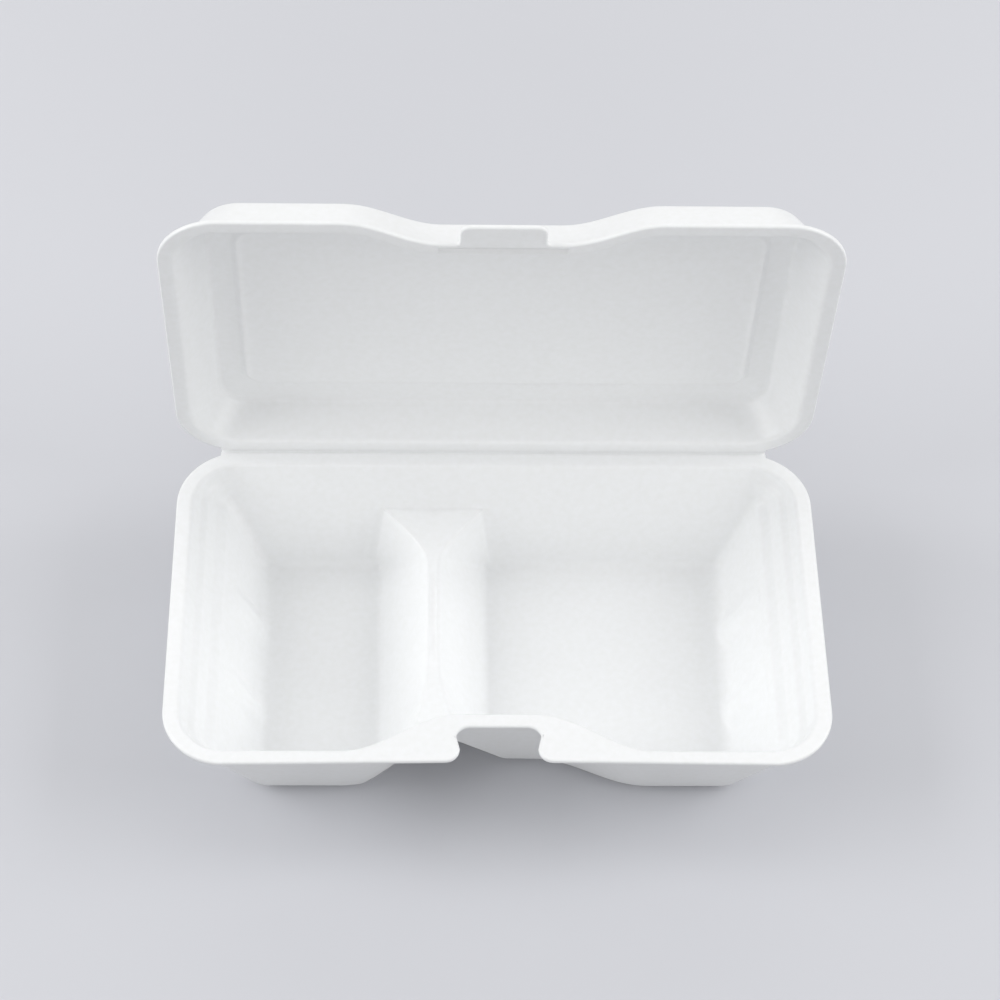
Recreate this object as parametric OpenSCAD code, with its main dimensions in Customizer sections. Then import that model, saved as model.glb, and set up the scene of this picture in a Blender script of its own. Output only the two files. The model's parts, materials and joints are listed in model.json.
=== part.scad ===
// Hinged foam food container with two pockets, shown open.
// One sheet of expanded polystyrene foam, formed into a tray and a lid that meet at a fold.

/* [Sheet] */
// Thickness of the formed foam sheet
wall = 2; // [1.5:0.1:2.6]

/* [Flange] */
// Width of the flange outline that tray and lid share
flange_w = 240; // [220:1:270]
// Depth of the flange outline, from the fold to the front edge
flange_d = 139.5; // [132:0.5:160]
// Radius of the two flange corners at the fold
flange_back_r = 24.5; // [20:0.5:30]
// Radius of the two flange corners at the front
flange_front_r = 22.5; // [18:0.5:28]
// Width of the flange at the sides
rim_side = 6; // [5:0.1:8]
// Width of the flange along the fold
rim_back = 6.3; // [5:0.1:8]
// Width of the flange along the front
rim_front = 5.6; // [4.6:0.1:7]
// How far the middle of the tray's front edge is drawn back
front_bow = 1.2; // [0:0.1:2]

/* [Tray] */
// Height of the flange's top face above the table
tray_h = 48; // [44:0.5:56]
// How far the front and back walls lean in from flange to floor
end_draft = 14.5; // [11:0.5:17]
// How far the side walls lean in from flange to floor
side_draft = 25; // [22:0.5:28]
// Depth of the step in the side walls below the flange
ledge_depth = 13; // [10:0.5:14]
// Height of the sloping step in the side walls
ledge_h = 3; // [2:0.5:4]
// Width of the sloping step in the side walls
ledge_w = 5.3; // [3:0.1:6]
// Rounding where a wall meets the floor
floor_fillet = 6; // [4:0.5:8]
// Corner radius of the pockets near the floor
pocket_r = 7; // [5:0.5:10]
// Distances of the side wall ribs from the fold
rib_places = [52.5, 90]; // [30:1:110]
// Width of a side wall rib
rib_w = 15; // [12:0.5:18]
// How far a side wall rib stands out
rib_rise = 2; // [1:0.1:3]

/* [Divider] */
// Place of the divider's ridge across the width
divider_x = -23.3; // [-28:0.1:-20]
// Height of the divider's ridge above the table
divider_h = 28.4; // [24:0.2:30]
// Width of the ridge
ridge_w = 3; // [3:0.1:5]
// Width of the divider where its faces meet the floor
divider_foot_w = 39.2; // [36:0.2:42]
// How far each side of the ridge spreads at the back wall
back_spread = 20; // [16:0.5:23]
// Length of the ridge over which it spreads to the back wall
back_spread_l = 36; // [28:1:42]
// Length of the ridge over which it spreads to the front wall
front_spread_l = 36; // [28:1:42]

/* [Latch] */
// Half width of the curved recess in the front
recess_reach = 56; // [50:1:60]
// Half width of the straight middle of the tray's recess
tray_recess_flat = 14; // [10:1:18]
// Depth of the tray's recess at the flange
tray_recess = 15.5; // [14:0.5:17]
// Depth of the tray's recess at the floor
floor_recess = 11.5; // [9:0.5:13]
// Half width of the straight middle of the lid's recess
lid_recess_flat = 21; // [18:1:24]
// Depth of the lid's recess
lid_recess = 11.2; // [9:0.2:13]
// Width of the flange strip that the latch takes up
latch_span = 48; // [46:1:50]
// Width of the notch at its widest
notch_w = 30.2; // [26:0.2:34]
// Width of the notch between its lips
notch_mouth_w = 27.8; // [25:0.2:31]
// Depth of the notch from the front edge
notch_d = 14.4; // [12:0.2:14.8]
// Radius of the notch's inner corners
notch_r = 5; // [4:0.5:6]
// Radius of the notch's lips
lip_r = 5; // [4:0.5:6]
// Width of the tab on the lid
tab_w = 30.4; // [26:0.2:33]
// Length of the tab beyond the lid's edge
tab_l = 9.6; // [8:0.2:11]
// Radius of the tab's outer corners
tab_r = 3.5; // [2.5:0.5:4]
// Radius where the tab leaves the lid's edge
tab_root_r = 2; // [1.5:0.5:3]

/* [Lid] */
// Depth of the lid from its flange to the border of its top
lid_h = 16; // [14:0.5:20]
// How far the middle of the lid's top is sunk below its border
panel_step = 1.6; // [0.8:0.1:2.4]
// How far the lid's side walls lean in
lid_side_draft = 9.8; // [8:0.2:12]
// How far the lid's back wall leans in
lid_back_draft = 4.4; // [3:0.2:6]
// How far the lid's front wall leans in
lid_front_draft = 6.4; // [5:0.2:8]
// Rounding where the lid's walls meet its top
lid_fillet = 4; // [3:0.5:6]
// Corner radius of the lid's top
lid_top_r = 12; // [10:0.5:14]
// Width of the border around the middle of the lid's top
border_w = 9; // [8:0.5:11]
// Extra width of that border along the fold
border_back_extra = 4; // [2:0.5:6]
// Corner radius of the middle of the lid's top
panel_r = 7; // [5:0.5:9]

/* [Hinge] */
// Length of the fold
hinge_l = 209; // [190:1:214]
// Gap between tray and lid along the fold and when closed
hinge_gap = 0.3; // [0.2:0.05:0.5]
// Angle between tray and lid as shown
open_angle = 85.5; // [70:0.5:100]

/* [Hidden] */
foam_colour = "whitesmoke";

// Columns in each stretch of a ring
corner_cols = 7;
side_cols = 24;
wave_cols = 6;
straight_cols = 3;
arc_cols = 3;
ridge_cols = 3;
back_arc_cols = 6;

// Steps in the wall profiles
fillet_steps = 4;
rim_round_share = 0.5;
rib_edge_share = 0.3;
rib_top_share = 0.5;
bend_share = 0.9;
arc_start_share = 0.3;
notch_corner_angle = 75;

half_w = flange_w / 2;
half_hinge = hinge_l / 2;
half_gap = hinge_gap / 2;
half_latch = latch_span / 2;
floor_d = tray_h - wall;
land_d = tray_h - divider_h;
axis_z = tray_h + half_gap;
rim_round = rim_front * rim_round_share;

// A smooth bump of height 1 over the middle, falling to 0 at the recess's ends
function recess(x, flat) =
    abs(x) <= flat ? 1
    : abs(x) >= recess_reach ? 0
    : (1 + cos(180 * (abs(x) - flat) / (recess_reach - flat))) / 2;

function mix(a, b, t) = a + (b - a) * t;
function bezier(a, b, c, t) = a * (1 - t) * (1 - t) + b * 2 * t * (1 - t) + c * t * t;
function turned(centre, r, angle) = centre + r * [cos(angle), sin(angle)];
function last(list) = list[len(list) - 1];
function slice(list, from, to) = [for (i = [from:1:to]) list[i]];
function reversed(list) = [for (i = [len(list) - 1:-1:0]) list[i]];

// Moves a wall profile of [depth, inset] pairs out by the sheet's thickness, mitred at its bends
function side_of(a, b) = [b[1] - a[1], a[0] - b[0]] / norm(b - a);
function thickened(profile, t) = [
    for (i = [0:len(profile) - 1])
        let (
            n1 = i == 0 ? side_of(profile[0], profile[1]) : side_of(profile[i - 1], profile[i]),
            n2 = i == len(profile) - 1 ? n1 : side_of(profile[i], profile[i + 1])
        )
        profile[i] + t * (n1 + n2) / (1 + n1 * n2)
];

// Inset and depth on a profile that ends in a rounded floor, where t runs along the rounding
function inset_at(profile, d, t, bottom, r) =
    t == 0 ? lookup(d, profile)
    : bezier(lookup(bottom - r, profile), lookup(bottom, profile), lookup(bottom, profile) + r, t);
function depth_at(d, t, bottom, r) = t == 0 ? d : bezier(bottom - r, bottom, bottom, t);

// Places of the columns along the front, from left to right, for a ring whose front ends at +-x_end
function front_xs(x_end) = concat(
    [for (k = [0:straight_cols - 1]) -mix(x_end, recess_reach, k / straight_cols)],
    [for (k = [0:wave_cols - 1]) -mix(recess_reach, half_latch, k / wave_cols)],
    [for (k = [-latch_cols:latch_cols]) half_latch * k / latch_cols],
    [for (k = [1:wave_cols]) mix(half_latch, recess_reach, k / wave_cols)],
    [for (k = [1:straight_cols]) mix(recess_reach, x_end, k / straight_cols)]
);
latch_cols = 2 * arc_cols + 4;

// Columns where the divider's faces leave the front wall and the back wall
front_left_i = straight_cols + 2;
front_split_i = straight_cols + wave_cols;
front_right_i = straight_cols + wave_cols + latch_cols - 1;
front_n = 2 * (straight_cols + wave_cols + latch_cols) + 1;
back_n = 2 * (straight_cols + back_arc_cols) + 1;
back_start_i = front_n + 2 * (corner_cols - 1) + side_cols + 1;
back_right_i = back_start_i + straight_cols;
back_split_i = back_right_i + back_arc_cols;
back_left_i = back_split_i + back_arc_cols;
ring_n = front_n + back_n + 4 * (corner_cols - 1) + 2 * (side_cols + 1);

// Stretches the columns beyond a divider face so that they start at its own foot
function restretched(x, x_end, from, to) = to + (x - from) * (x_end - to) / (x_end - from);

// Where the divider meets the walls at land height: [front left, front right, back left, back right]
land_feet = [
    front_xs(half_w)[front_left_i],
    front_xs(half_w)[front_right_i],
    divider_x - ridge_w / 2 - back_spread,
    divider_x + ridge_w / 2 + back_spread
];

// One closed ring, counter-clockwise from the front left corner.
// size: [half width, back y, front y, back radius, front radius, recess depth], feet: as land_feet
function ring(size, feet, z, flat, ribs) =
    let (
        hw = size[0],
        yb = size[1],
        yf = size[2],
        rb = size[3],
        rf = size[4],
        xf = hw - rf,
        xb = hw - rb,
        fronts = front_xs(xf),
        front = [
            for (i = [0:front_n - 1])
                let (x = i <= front_left_i ? restretched(fronts[i], -xf, land_feet[0], feet[0])
                    : i >= front_right_i ? restretched(fronts[i], xf, land_feet[1], feet[1])
                    : fronts[i])
                [x, yf + size[5] * recess(x, flat)]
        ],
        middle = (feet[2] + feet[3]) / 2,
        back_xs = concat(
            [for (k = [0:straight_cols - 1]) mix(xb, feet[3], k / straight_cols)],
            [for (k = [0:back_arc_cols]) mix(middle, feet[3], pow(1 - k / back_arc_cols, 2))],
            [for (k = [1:back_arc_cols]) mix(middle, feet[2], pow(k / back_arc_cols, 2))],
            [for (k = [1:straight_cols]) mix(feet[2], -xb, k / straight_cols)]
        ),
        side_ys = [for (k = [0:side_cols]) mix(yf + rf, yb - rb, k / side_cols)],
        right = [for (y = side_ys) [hw - ribs * rib(y), y]],
        left = [for (y = reversed(side_ys)) [ribs * rib(y) - hw, y]],
        flat_ring = concat(
            front,
            [for (k = [1:corner_cols - 1]) turned([xf, yf + rf], rf, 90 * k / corner_cols - 90)],
            right,
            [for (k = [1:corner_cols - 1]) turned([xb, yb - rb], rb, 90 * k / corner_cols)],
            [for (x = back_xs) [x, yb]],
            [for (k = [1:corner_cols - 1]) turned([-xb, yb - rb], rb, 90 * k / corner_cols + 90)],
            left,
            [for (k = [1:corner_cols - 1]) turned([-xf, yf + rf], rf, 90 * k / corner_cols + 180)]
        )
    )
    [for (p = flat_ring) [p[0], p[1], z]];

// The outer edge of a flange: a front line given by the caller, rounded corners, and the straight fold
function flange_ring(front, z) =
    let (
        hw = half_w,
        xf = hw - flange_front_r,
        xb = hw - flange_back_r,
        yf = flange_front_r - flange_d,
        fold_angle = acos((half_hinge - xb) / flange_back_r),
        bend = [
            for (k = [1:corner_cols - 1])
                turned([xb, -flange_back_r], flange_back_r, fold_angle * k / (corner_cols - 1))
        ],
        side_ys = [for (k = [0:side_cols]) mix(yf, -flange_back_r, k / side_cols)],
        fold = [for (k = [0:back_n - 1]) [half_hinge - hinge_l * k / (back_n - 1), -half_gap]],
        flat_ring = concat(
            front,
            [for (k = [1:corner_cols - 1]) turned([xf, yf], flange_front_r, 90 * k / corner_cols - 90)],
            [for (y = side_ys) [hw, y]],
            bend,
            fold,
            [for (p = reversed(bend)) [-p[0], p[1]]],
            [for (y = reversed(side_ys)) [-hw, y]],
            [for (k = [1:corner_cols - 1]) turned([-xf, yf], flange_front_r, 90 * k / corner_cols + 180)]
        )
    )
    [for (p = flat_ring) [p[0], p[1], z]];

// Height of the side wall ribs, 0 to rib_rise, at a place along the wall
function rib(y) = rib_rise * max([
    for (place = rib_places)
        let (t = (rib_w * rib_top_share - abs(y + place)) / (rib_w * rib_edge_share))
        t <= 0 ? 0 : t >= 1 ? 1 : (1 - cos(180 * t)) / 2
]);

// The front line of a flange: the latch's own outline in the middle, the given edge beside it
function front_line(half_outline, edge) =
    let (xs = front_xs(half_w - flange_front_r), middle = straight_cols + wave_cols + latch_cols)
    [
        for (i = [0:front_n - 1])
            let (k = i - middle)
            abs(k) > latch_cols ? [xs[i], edge[i]]
            : [sign(k) * half_outline[abs(k)][0], half_outline[abs(k)][1]]
    ];

// Half of the notch, from the middle of its back edge out to the front edge
function bow_y(x) = front_bow * pow(cos(90 * x / half_w), 2) - flange_d;
notch_front = bow_y(0);
notch_flat = notch_w / 2 - notch_r * sin(notch_corner_angle);
notch_half = concat(
    [for (k = [0:3]) [notch_flat * k / 4, notch_front + notch_d]],
    [
        for (k = [0:arc_cols])
            turned(
                [notch_flat, notch_front + notch_d - notch_r],
                notch_r,
                90 - notch_corner_angle * k / arc_cols
            )
    ],
    [
        for (k = [0:arc_cols - 1])
            turned(
                [notch_mouth_w / 2 + lip_r, notch_front + lip_r],
                lip_r,
                180 + 90 * k / (arc_cols - 1)
            )
    ]
);

// Half of the tab, from the middle of its tip out to the lid's edge
lid_front = lid_recess - flange_d;
tab_half = concat(
    [for (k = [0:1]) [(tab_w / 2 - tab_r) * k / 2, lid_front - tab_l]],
    [
        for (k = [0:arc_cols])
            turned([tab_w / 2 - tab_r, lid_front - tab_l + tab_r], tab_r, 90 * k / arc_cols - 90)
    ],
    [
        for (k = [0:arc_cols - 1])
            turned(
                [tab_w / 2 + tab_root_r, lid_front - tab_root_r],
                tab_root_r,
                180 - 90 * k / (arc_cols - 1)
            )
    ],
    [
        for (k = [1:2])
            let (x = mix(tab_w / 2 + tab_root_r, half_latch, k / 2))
            [x, lid_recess * recess(x, lid_recess_flat) - flange_d]
    ]
);

// Triangles between two rings of the same length, and from a ring to a point
function band(a, b) = [
    for (i = [0:len(a) - 1])
        let (j = (i + 1) % len(a))
        each [[a[i], a[j], b[j]], [a[i], b[j], b[i]]]
];
function fan(a, tip) = [for (i = [0:len(a) - 1]) [a[i], a[(i + 1) % len(a)], tip]];
function strip(a, b) = [
    for (i = [0:len(a) - 2], f = [[a[i], b[i], b[i + 1]], [a[i], b[i + 1], a[i + 1]]])
        if (f[0] != f[1] && f[1] != f[2])
            f
];
function flipped(faces) = [for (f = faces) [f[0], f[2], f[1]]];
function shifted(faces, n) = [for (f = faces) [f[0] + n, f[1] + n, f[2] + n]];
function run(from, n) = [for (i = [0:n - 1]) from + i];
function centre_of(points) = [for (p = points) 1 / len(points)] * points;

// Wall profiles of the tray as [depth below the flange, inset from the flange outline]
side_profile = let (lower = rim_side + ledge_w + (side_draft - ledge_w) * (ledge_depth + ledge_h) / floor_d)
    [
        [0, rim_side],
        [ledge_depth, rim_side + (side_draft - ledge_w) * ledge_depth / floor_d],
        [ledge_depth + ledge_h, lower],
        [tray_h, mix(lower, rim_side + side_draft, (floor_d + wall - ledge_depth - ledge_h)
            / (floor_d - ledge_depth - ledge_h))]
    ];
back_profile = [[0, rim_back], [tray_h, rim_back + end_draft * tray_h / floor_d]];
front_profile = [[0, rim_front], [tray_h, rim_front + end_draft * tray_h / floor_d]];
divider_profile = [
    [land_d, ridge_w / 2],
    [tray_h, mix(ridge_w, divider_foot_w, (tray_h - land_d) / (floor_d - land_d)) / 2]
];

// The tray's inner face has skin 0 and its outer face has skin 1
function side_at(skin) = skin == 0 ? side_profile : thickened(side_profile, wall);
function back_at(skin) = skin == 0 ? back_profile : thickened(back_profile, wall);
function front_at(skin) = skin == 0 ? front_profile : thickened(front_profile, wall);
function divider_at(skin) = skin == 0 ? divider_profile : thickened(divider_profile, wall);

// Corner radii shrink from the flange to the pockets
function radius_at(d, outer_r, rim, skin) =
    lookup(d, [[0, outer_r - rim], [ledge_depth + ledge_h, pocket_r]]) + skin * wall;

function tray_size(d, t, skin) =
    let (bottom = floor_d + skin * wall, r = floor_fillet + skin * wall, deep = depth_at(d, t, bottom, r))
    [
        half_w - inset_at(side_at(skin), d, t, bottom, r),
        -inset_at(back_at(skin), d, t, bottom, r),
        inset_at(front_at(skin), d, t, bottom, r) - flange_d,
        radius_at(deep, flange_back_r, rim_back, skin),
        radius_at(deep, flange_front_r, rim_front, skin),
        lookup(deep, [[0, tray_recess], [tray_h, floor_recess]])
    ];

// How far the divider's faces have turned from the land's wide spread into tight floor corners
function spread_at(d, t, skin) =
    let (bottom = floor_d + skin * wall, deep = depth_at(d, t, bottom, floor_fillet + skin * wall))
    min(1, max(0, (deep - land_d - skin * wall) / (floor_d - land_d)));
function face_half(d, t, skin) =
    inset_at(divider_at(skin), d, t, floor_d + skin * wall, floor_fillet + skin * wall);
function tray_feet(d, t, skin) =
    let (
        bottom = floor_d + skin * wall,
        deep = depth_at(d, t, bottom, floor_fillet + skin * wall),
        floor_half = lookup(bottom, divider_at(skin)) + pocket_r + skin * wall,
        fillet = face_half(d, t, skin) - lookup(deep, divider_at(skin))
    )
    [
        for (i = [0:3])
            let (
                side = i % 2 == 0 ? -1 : 1,
                land_half = side * (land_feet[i] - divider_x) - skin * wall
            )
            divider_x + side * (mix(land_half, floor_half, spread_at(d, t, skin)) + fillet)
    ];

// One level of the basin above the divider
function basin_ring(d, skin) = ring(
    tray_size(d, 0, skin),
    tray_feet(land_d + skin * wall, 0, skin),
    tray_h - d,
    tray_recess_flat,
    0
);

// Places on the arc from the ridge to the front wall that lie behind the front wall's columns
function front_arc(side) =
    let (
        n = side > 0 ? front_right_i - front_split_i : front_split_i - front_left_i,
        ridge_x = divider_x + side * ridge_w / 2,
        foot_x = land_feet[side > 0 ? 1 : 0]
    )
    [
        for (k = [1:1:n - 1])
            let (x = front_xs(half_w)[front_split_i + side * k])
            max(arc_start_share * k / n, sqrt(max(0, (x - ridge_x) / (foot_x - ridge_x))))
    ];

// One level of a pocket, split off its ring: the outer wall's columns, then the divider's face
function pocket_loop(d, t, skin, side) =
    let (
        size = tray_size(d, t, skin),
        feet = tray_feet(d, t, skin),
        deep = depth_at(d, t, floor_d + skin * wall, floor_fillet + skin * wall),
        z = tray_h - deep,
        s = spread_at(d, t, skin),
        whole = ring(size, feet, z, tray_recess_flat, min(1, s / rib_edge_share) * (1 - t)),
        x = divider_x + side * face_half(d, t, skin),
        back_l = mix(back_spread_l, pocket_r + skin * wall, s),
        front_l = mix(front_spread_l, pocket_r + skin * wall, s),
        back_corner = [x, size[1], z],
        front_corner = [x, size[2] + size[5] * recess(x, tray_recess_flat), z],
        ridge_back = back_corner - [0, back_l, 0],
        ridge_front = front_corner + [0, front_l, 0],
        back_foot = whole[side > 0 ? back_right_i : back_left_i],
        front_foot = whole[side > 0 ? front_right_i : front_left_i],
        bend = bend_share * (1 - pow(s, 4)),
        back_bend = back_corner - [0, bend * abs(back_foot[0] - x), 0],
        front_bend = front_corner + [0, bend * abs(front_foot[0] - x), 0],
        face = concat(
            [for (k = [1:back_arc_cols]) bezier(back_foot, back_bend, ridge_back, k / back_arc_cols)],
            [for (k = [1:ridge_cols]) mix(ridge_back, ridge_front, k / ridge_cols)],
            [for (share = front_arc(side)) bezier(ridge_front, front_bend, front_foot, share)]
        )
    )
    side > 0 ? concat(slice(whole, front_right_i, back_right_i), face)
    : concat(slice(whole, back_left_i, ring_n - 1), slice(whole, 0, front_left_i), reversed(face));

// Depths of the rings of one skin, from the side walls' step down to the land
function basin_depths(skin) = [side_at(skin)[1][0], side_at(skin)[2][0], land_d + skin * wall];

// Points of one skin of the tray, from its flange edge to its two floors
right_n = back_right_i - front_right_i + 1 + back_arc_cols + ridge_cols + front_right_i - front_split_i - 1;
left_n = ring_n - back_left_i + front_left_i + 1 + back_arc_cols + ridge_cols
    + front_split_i - front_left_i - 1;
pocket_rings = fillet_steps + 1;

function rim_rings(skin) = skin == 1 ? [basin_ring(wall, 1)] : [
    for (k = [0:2])
        let (
            t = k / 2,
            start = tray_size(0, 0, 0),
            end = tray_size(rim_round, 0, 0),
            grow = [rim_round, rim_round, -rim_round, rim_round, rim_round, 0],
            size = [for (i = [0:5]) bezier(start[i] + grow[i], start[i], end[i], t)]
        )
        ring(size, land_feet, tray_h - bezier(0, 0, rim_round, t), tray_recess_flat, 0)
];

tray_edge = [for (x = front_xs(half_w - flange_front_r)) bow_y(x)];
function basin_rings(skin) = concat(
    [flange_ring(front_line(notch_half, tray_edge), tray_h - skin * wall)],
    rim_rings(skin),
    [for (d = basin_depths(skin)) basin_ring(d, skin)]
);
function pocket_loops(skin, side) = concat(
    [pocket_loop(land_d + skin * wall, 0, skin, side)],
    [for (k = [0:fillet_steps]) pocket_loop(floor_d - floor_fillet, k / fillet_steps, skin, side)]
);

function skin_points(skin) =
    let (basin = basin_rings(skin), right = pocket_loops(skin, 1), left = pocket_loops(skin, -1))
    concat(
        [for (r = basin) each r],
        slice(right[0], back_right_i - front_right_i + 1, right_n - 1),
        slice(left[0], ring_n - back_left_i + front_left_i + 1, left_n - 1),
        [for (r = slice(right, 1, len(right) - 1)) each r],
        [centre_of(last(right))],
        [for (r = slice(left, 1, len(left) - 1)) each r],
        [centre_of(last(left))]
    );

// Triangles of one skin, seen from above
function skin_faces(skin) =
    let (
        basin_count = len(basin_rings(skin)),
        land = (basin_count - 1) * ring_n,
        right_edge = basin_count * ring_n,
        right_edge_n = right_n - (back_right_i - front_right_i + 1),
        left_edge = right_edge + right_edge_n,
        left_edge_n = left_n - (ring_n - back_left_i + front_left_i + 1),
        right_rings = left_edge + left_edge_n,
        right_tip = right_rings + pocket_rings * right_n,
        left_rings = right_tip + 1,
        left_tip = left_rings + pocket_rings * left_n,
        right_top = concat(
            run(land + front_right_i, back_right_i - front_right_i + 1),
            run(right_edge, right_edge_n)
        ),
        left_top = concat(
            run(land + back_left_i, ring_n - back_left_i),
            run(land, front_left_i + 1),
            run(left_edge, left_edge_n)
        ),
        right_ridge = concat([land + back_right_i], run(right_edge, right_edge_n), [land + front_right_i]),
        left_ridge = reversed(
            concat([land + front_left_i], run(left_edge, left_edge_n), [land + back_left_i])
        ),
        fore = back_arc_cols + ridge_cols
    )
    concat(
        [for (k = [0:basin_count - 2]) each band(run(k * ring_n, ring_n), run((k + 1) * ring_n, ring_n))],
        band(right_top, run(right_rings, right_n)),
        [
            for (k = [0:pocket_rings - 2])
                each band(
                    run(right_rings + k * right_n, right_n),
                    run(right_rings + (k + 1) * right_n, right_n)
                )
        ],
        fan(run(right_rings + (pocket_rings - 1) * right_n, right_n), right_tip),
        band(left_top, run(left_rings, left_n)),
        [
            for (k = [0:pocket_rings - 2])
                each band(
                    run(left_rings + k * left_n, left_n),
                    run(left_rings + (k + 1) * left_n, left_n)
                )
        ],
        fan(run(left_rings + (pocket_rings - 1) * left_n, left_n), left_tip),
        strip(slice(right_ridge, 0, back_arc_cols), run(land + back_right_i, back_arc_cols + 1)),
        strip(reversed(run(land + back_split_i, back_arc_cols + 1)), slice(left_ridge, 0, back_arc_cols)),
        [[right_ridge[back_arc_cols], land + back_split_i, left_ridge[back_arc_cols]]],
        strip(slice(right_ridge, back_arc_cols, fore), slice(left_ridge, back_arc_cols, fore)),
        strip(
            reversed(run(land + front_left_i, front_split_i - front_left_i + 1)),
            slice(left_ridge, fore, len(left_ridge) - 1)
        ),
        strip(
            slice(right_ridge, fore, len(right_ridge) - 1),
            run(land + front_split_i, front_right_i - front_split_i + 1)
        ),
        [[left_ridge[fore], land + front_split_i, right_ridge[fore]]]
    );

module tray() {
    inner = skin_points(0);
    outer = skin_points(1);
    color(foam_colour)
        translate([0, centre_y, 0])
            polyhedron(
                concat(inner, outer),
                concat(
                    flipped(skin_faces(0)),
                    shifted(skin_faces(1), len(inner)),
                    band(run(0, ring_n), run(len(inner), ring_n))
                )
            );
}

// Wall profiles of the lid, as the tray's, with depth measured away from the tray
lid_side_profile = [[0, rim_side], [lid_h + panel_step + wall, rim_side
    + lid_side_draft * (lid_h + panel_step + wall) / lid_h]];
lid_back_profile = [[0, rim_back], [lid_h + panel_step + wall, rim_back
    + lid_back_draft * (lid_h + panel_step + wall) / lid_h]];
lid_front_profile = [[0, rim_front], [lid_h + panel_step + wall, rim_front
    + lid_front_draft * (lid_h + panel_step + wall) / lid_h]];

function lid_size(d, t, skin) =
    let (
        bottom = lid_h + skin * wall,
        r = lid_fillet + skin * wall,
        deep = depth_at(d, t, bottom, r),
        side = skin == 0 ? lid_side_profile : thickened(lid_side_profile, wall),
        back = skin == 0 ? lid_back_profile : thickened(lid_back_profile, wall),
        front = skin == 0 ? lid_front_profile : thickened(lid_front_profile, wall)
    )
    [
        half_w - inset_at(side, d, t, bottom, r),
        -inset_at(back, d, t, bottom, r),
        inset_at(front, d, t, bottom, r) - flange_d,
        lookup(deep, [[0, flange_back_r - rim_back], [lid_h, lid_top_r]]) + skin * wall,
        lookup(deep, [[0, flange_front_r - rim_front], [lid_h, lid_top_r]]) + skin * wall,
        lid_recess
    ];

// The edge of the middle of the lid's top, where t runs down its step
function panel_size(t) =
    let (size = lid_size(lid_h, 0, 0), w = border_w + panel_step * t)
    [
        size[0] - w,
        size[1] - w - border_back_extra,
        size[2] + w,
        panel_r,
        panel_r,
        lid_recess
    ];

// Rings of one skin of the lid, from its flange edge to the middle of its top
function lid_ring(size, d) = ring(size, land_feet, d, lid_recess_flat, 0);
function lid_rim_rings(skin) = skin == 1 ? [lid_ring(lid_size(wall, 0, 1), wall)] : [
    for (k = [0:2])
        let (
            start = lid_size(0, 0, 0),
            end = lid_size(rim_round, 0, 0),
            grow = [rim_round, rim_round, -rim_round, rim_round, rim_round, 0]
        )
        lid_ring(
            [for (i = [0:5]) bezier(start[i] + grow[i], start[i], end[i], k / 2)],
            bezier(0, 0, rim_round, k / 2)
        )
];
lid_edge = [
    for (x = front_xs(half_w - flange_front_r)) lid_recess * recess(x, lid_recess_flat) - flange_d
];
function lid_rings(skin) = concat(
    [flange_ring(front_line(tab_half, lid_edge), skin * wall)],
    lid_rim_rings(skin),
    [
        for (k = [0:fillet_steps])
            let (t = k / fillet_steps, d = lid_h - lid_fillet)
            lid_ring(
                lid_size(d, t, skin),
                depth_at(d, t, lid_h + skin * wall, lid_fillet + skin * wall)
            )
    ],
    [for (t = [0, 1]) lid_ring(panel_size(t), lid_h + skin * wall - t * panel_step)]
);

// Turns a lid point from its closed place, mouth down, to the angle shown
function opened(p) = [
    p[0],
    p[1] * cos(open_angle) + (p[2] + half_gap) * sin(open_angle),
    axis_z - p[1] * sin(open_angle) + (p[2] + half_gap) * cos(open_angle)
];
function lid_points(skin) =
    let (rings = lid_rings(skin), flat = concat([for (r = rings) each r], [centre_of(last(rings))]))
    [for (p = flat) opened(p)];
function lid_faces(skin) =
    let (count = len(lid_rings(skin)))
    concat(
        [for (k = [0:count - 2]) each band(run(k * ring_n, ring_n), run((k + 1) * ring_n, ring_n))],
        fan(run((count - 1) * ring_n, ring_n), count * ring_n)
    );

// The fold lies where it puts the origin under the middle of the whole object's box
lid_back_y = max([for (p = lid_points(1)) p[1]]);
centre_y = (flange_d - lid_back_y) / 2;

module lid() {
    inner = lid_points(0);
    outer = lid_points(1);
    color(foam_colour)
        translate([0, centre_y, 0])
            polyhedron(
                concat(inner, outer),
                concat(
                    lid_faces(0),
                    flipped(shifted(lid_faces(1), len(inner))),
                    flipped(band(run(0, ring_n), run(len(inner), ring_n)))
                )
            );
}

tray();
lid();
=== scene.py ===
"""Hinged foam food container with two pockets, standing open on a pale table.

The tray and the lid are two skins of one formed foam sheet. Each skin is a stack of closed
rings: every ring follows the flange's plan (straight sides, round corners, a recess in the
front), and a profile says how far in and how deep each ring lies. All lengths are millimetres
from the middle of the fold, at the height of the tray's flange, until they go into a mesh.
"""

import json
import math

import bpy
import numpy as np
from mathutils import Matrix


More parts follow.
